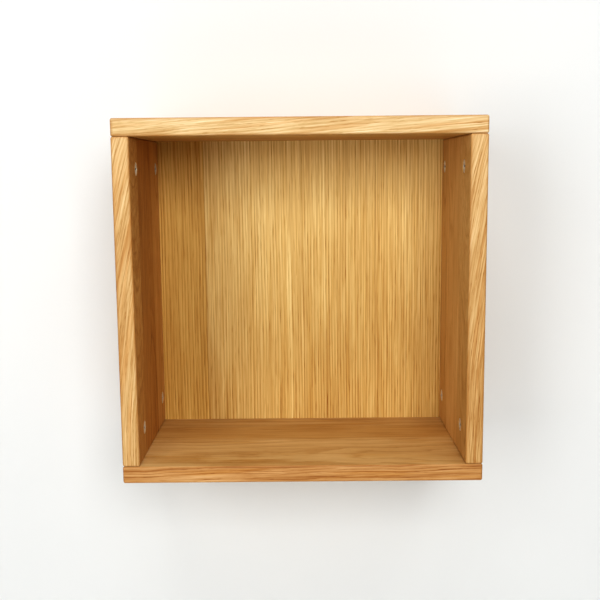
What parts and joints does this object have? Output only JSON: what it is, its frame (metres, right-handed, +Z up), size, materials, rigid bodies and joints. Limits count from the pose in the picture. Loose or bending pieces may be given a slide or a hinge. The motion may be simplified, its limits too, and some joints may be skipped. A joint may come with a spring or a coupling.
{
  "type": "wall mounted display box",
  "caption": "Square open-fronted oak wall box for showing small exhibits, put together with turning cam locks and hung on a hidden split batten.",
  "frame": {"origin": "on the wall plane, midway between the two wall screw holes of the wall batten", "axes": "+Z up, +Y into the wall, so the open front faces -Y, and +X to the right as seen from the front"},
  "size_m": [0.375, 0.2, 0.375],
  "materials": {
    "oak_board": "oiled solid oak, satin",
    "oak_back": "oiled straight-grained oak, satin",
    "batten_wood": "planed, unfinished",
    "dowel_beech": "fluted, unfinished",
    "cam_zinc": "bright die-cast zinc",
    "bolt_steel": "zinc plated steel",
    "screw_steel": "yellow zinc plated steel"
  },
  "bodies": {
    "wall_batten": {"wall_batten": "batten_wood"},
    "box": {"top_panel": "oak_board", "bottom_panel": "oak_board", "left_side_panel": "oak_board", "right_side_panel": "oak_board", "back_panel": "oak_back", "hanging_batten": "batten_wood", "batten_screw_1": "screw_steel", "batten_screw_2": "screw_steel", "batten_screw_3": "screw_steel", "batten_screw_4": "screw_steel", "cam_bolt_bottom_left_front": "bolt_steel", "cam_bolt_bottom_left_rear": "bolt_steel", "cam_bolt_top_left_front": "bolt_steel", "cam_bolt_top_left_rear": "bolt_steel", "cam_bolt_bottom_right_front": "bolt_steel", "cam_bolt_bottom_right_rear": "bolt_steel", "cam_bolt_top_right_front": "bolt_steel", "cam_bolt_top_right_rear": "bolt_steel", "dowel_bottom_left_front": "dowel_beech", "dowel_bottom_left_rear": "dowel_beech", "dowel_top_left_front": "dowel_beech", "dowel_top_left_rear": "dowel_beech", "dowel_bottom_right_front": "dowel_beech", "dowel_bottom_right_rear": "dowel_beech", "dowel_top_right_front": "dowel_beech", "dowel_top_right_rear": "dowel_beech"},
    "cam_bottom_left_front": {"cam_lock_bottom_left_front": "cam_zinc"},
    "cam_bottom_left_rear": {"cam_lock_bottom_left_rear": "cam_zinc"},
    "cam_top_left_front": {"cam_lock_top_left_front": "cam_zinc"},
    "cam_top_left_rear": {"cam_lock_top_left_rear": "cam_zinc"},
    "cam_bottom_right_front": {"cam_lock_bottom_right_front": "cam_zinc"},
    "cam_bottom_right_rear": {"cam_lock_bottom_right_rear": "cam_zinc"},
    "cam_top_right_front": {"cam_lock_top_right_front": "cam_zinc"},
    "cam_top_right_rear": {"cam_lock_top_right_rear": "cam_zinc"}
  },
  "joints": [
    {"name": "box_lift", "type": "slide", "parent": "wall_batten", "child": "box", "axis": [0, 0, 1], "range_m": [0, 0.012]},
    {"name": "cam_bottom_left_front_turn", "type": "hinge", "parent": "box", "child": "cam_bottom_left_front", "pos_m": [-0.1695, -0.163, -0.257], "axis": [1, 0, 0], "range_deg": [0, 190]},
    {"name": "cam_bottom_left_rear_turn", "type": "hinge", "parent": "box", "child": "cam_bottom_left_rear", "pos_m": [-0.1695, -0.035, -0.257], "axis": [1, 0, 0], "range_deg": [0, 190]},
    {"name": "cam_top_left_front_turn", "type": "hinge", "parent": "box", "child": "cam_top_left_front", "pos_m": [-0.1695, -0.163, 0.018], "axis": [1, 0, 0], "range_deg": [0, 190]},
    {"name": "cam_top_left_rear_turn", "type": "hinge", "parent": "box", "child": "cam_top_left_rear", "pos_m": [-0.1695, -0.035, 0.018], "axis": [1, 0, 0], "range_deg": [0, 190]},
    {"name": "cam_bottom_right_front_turn", "type": "hinge", "parent": "box", "child": "cam_bottom_right_front", "pos_m": [0.1695, -0.163, -0.257], "axis": [-1, 0, 0], "range_deg": [0, 190]},
    {"name": "cam_bottom_right_rear_turn", "type": "hinge", "parent": "box", "child": "cam_bottom_right_rear", "pos_m": [0.1695, -0.035, -0.257], "axis": [-1, 0, 0], "range_deg": [0, 190]},
    {"name": "cam_top_right_front_turn", "type": "hinge", "parent": "box", "child": "cam_top_right_front", "pos_m": [0.1695, -0.163, 0.018], "axis": [-1, 0, 0], "range_deg": [0, 190]},
    {"name": "cam_top_right_rear_turn", "type": "hinge", "parent": "box", "child": "cam_top_right_rear", "pos_m": [0.1695, -0.035, 0.018], "axis": [-1, 0, 0], "range_deg": [0, 190]}
  ]
}
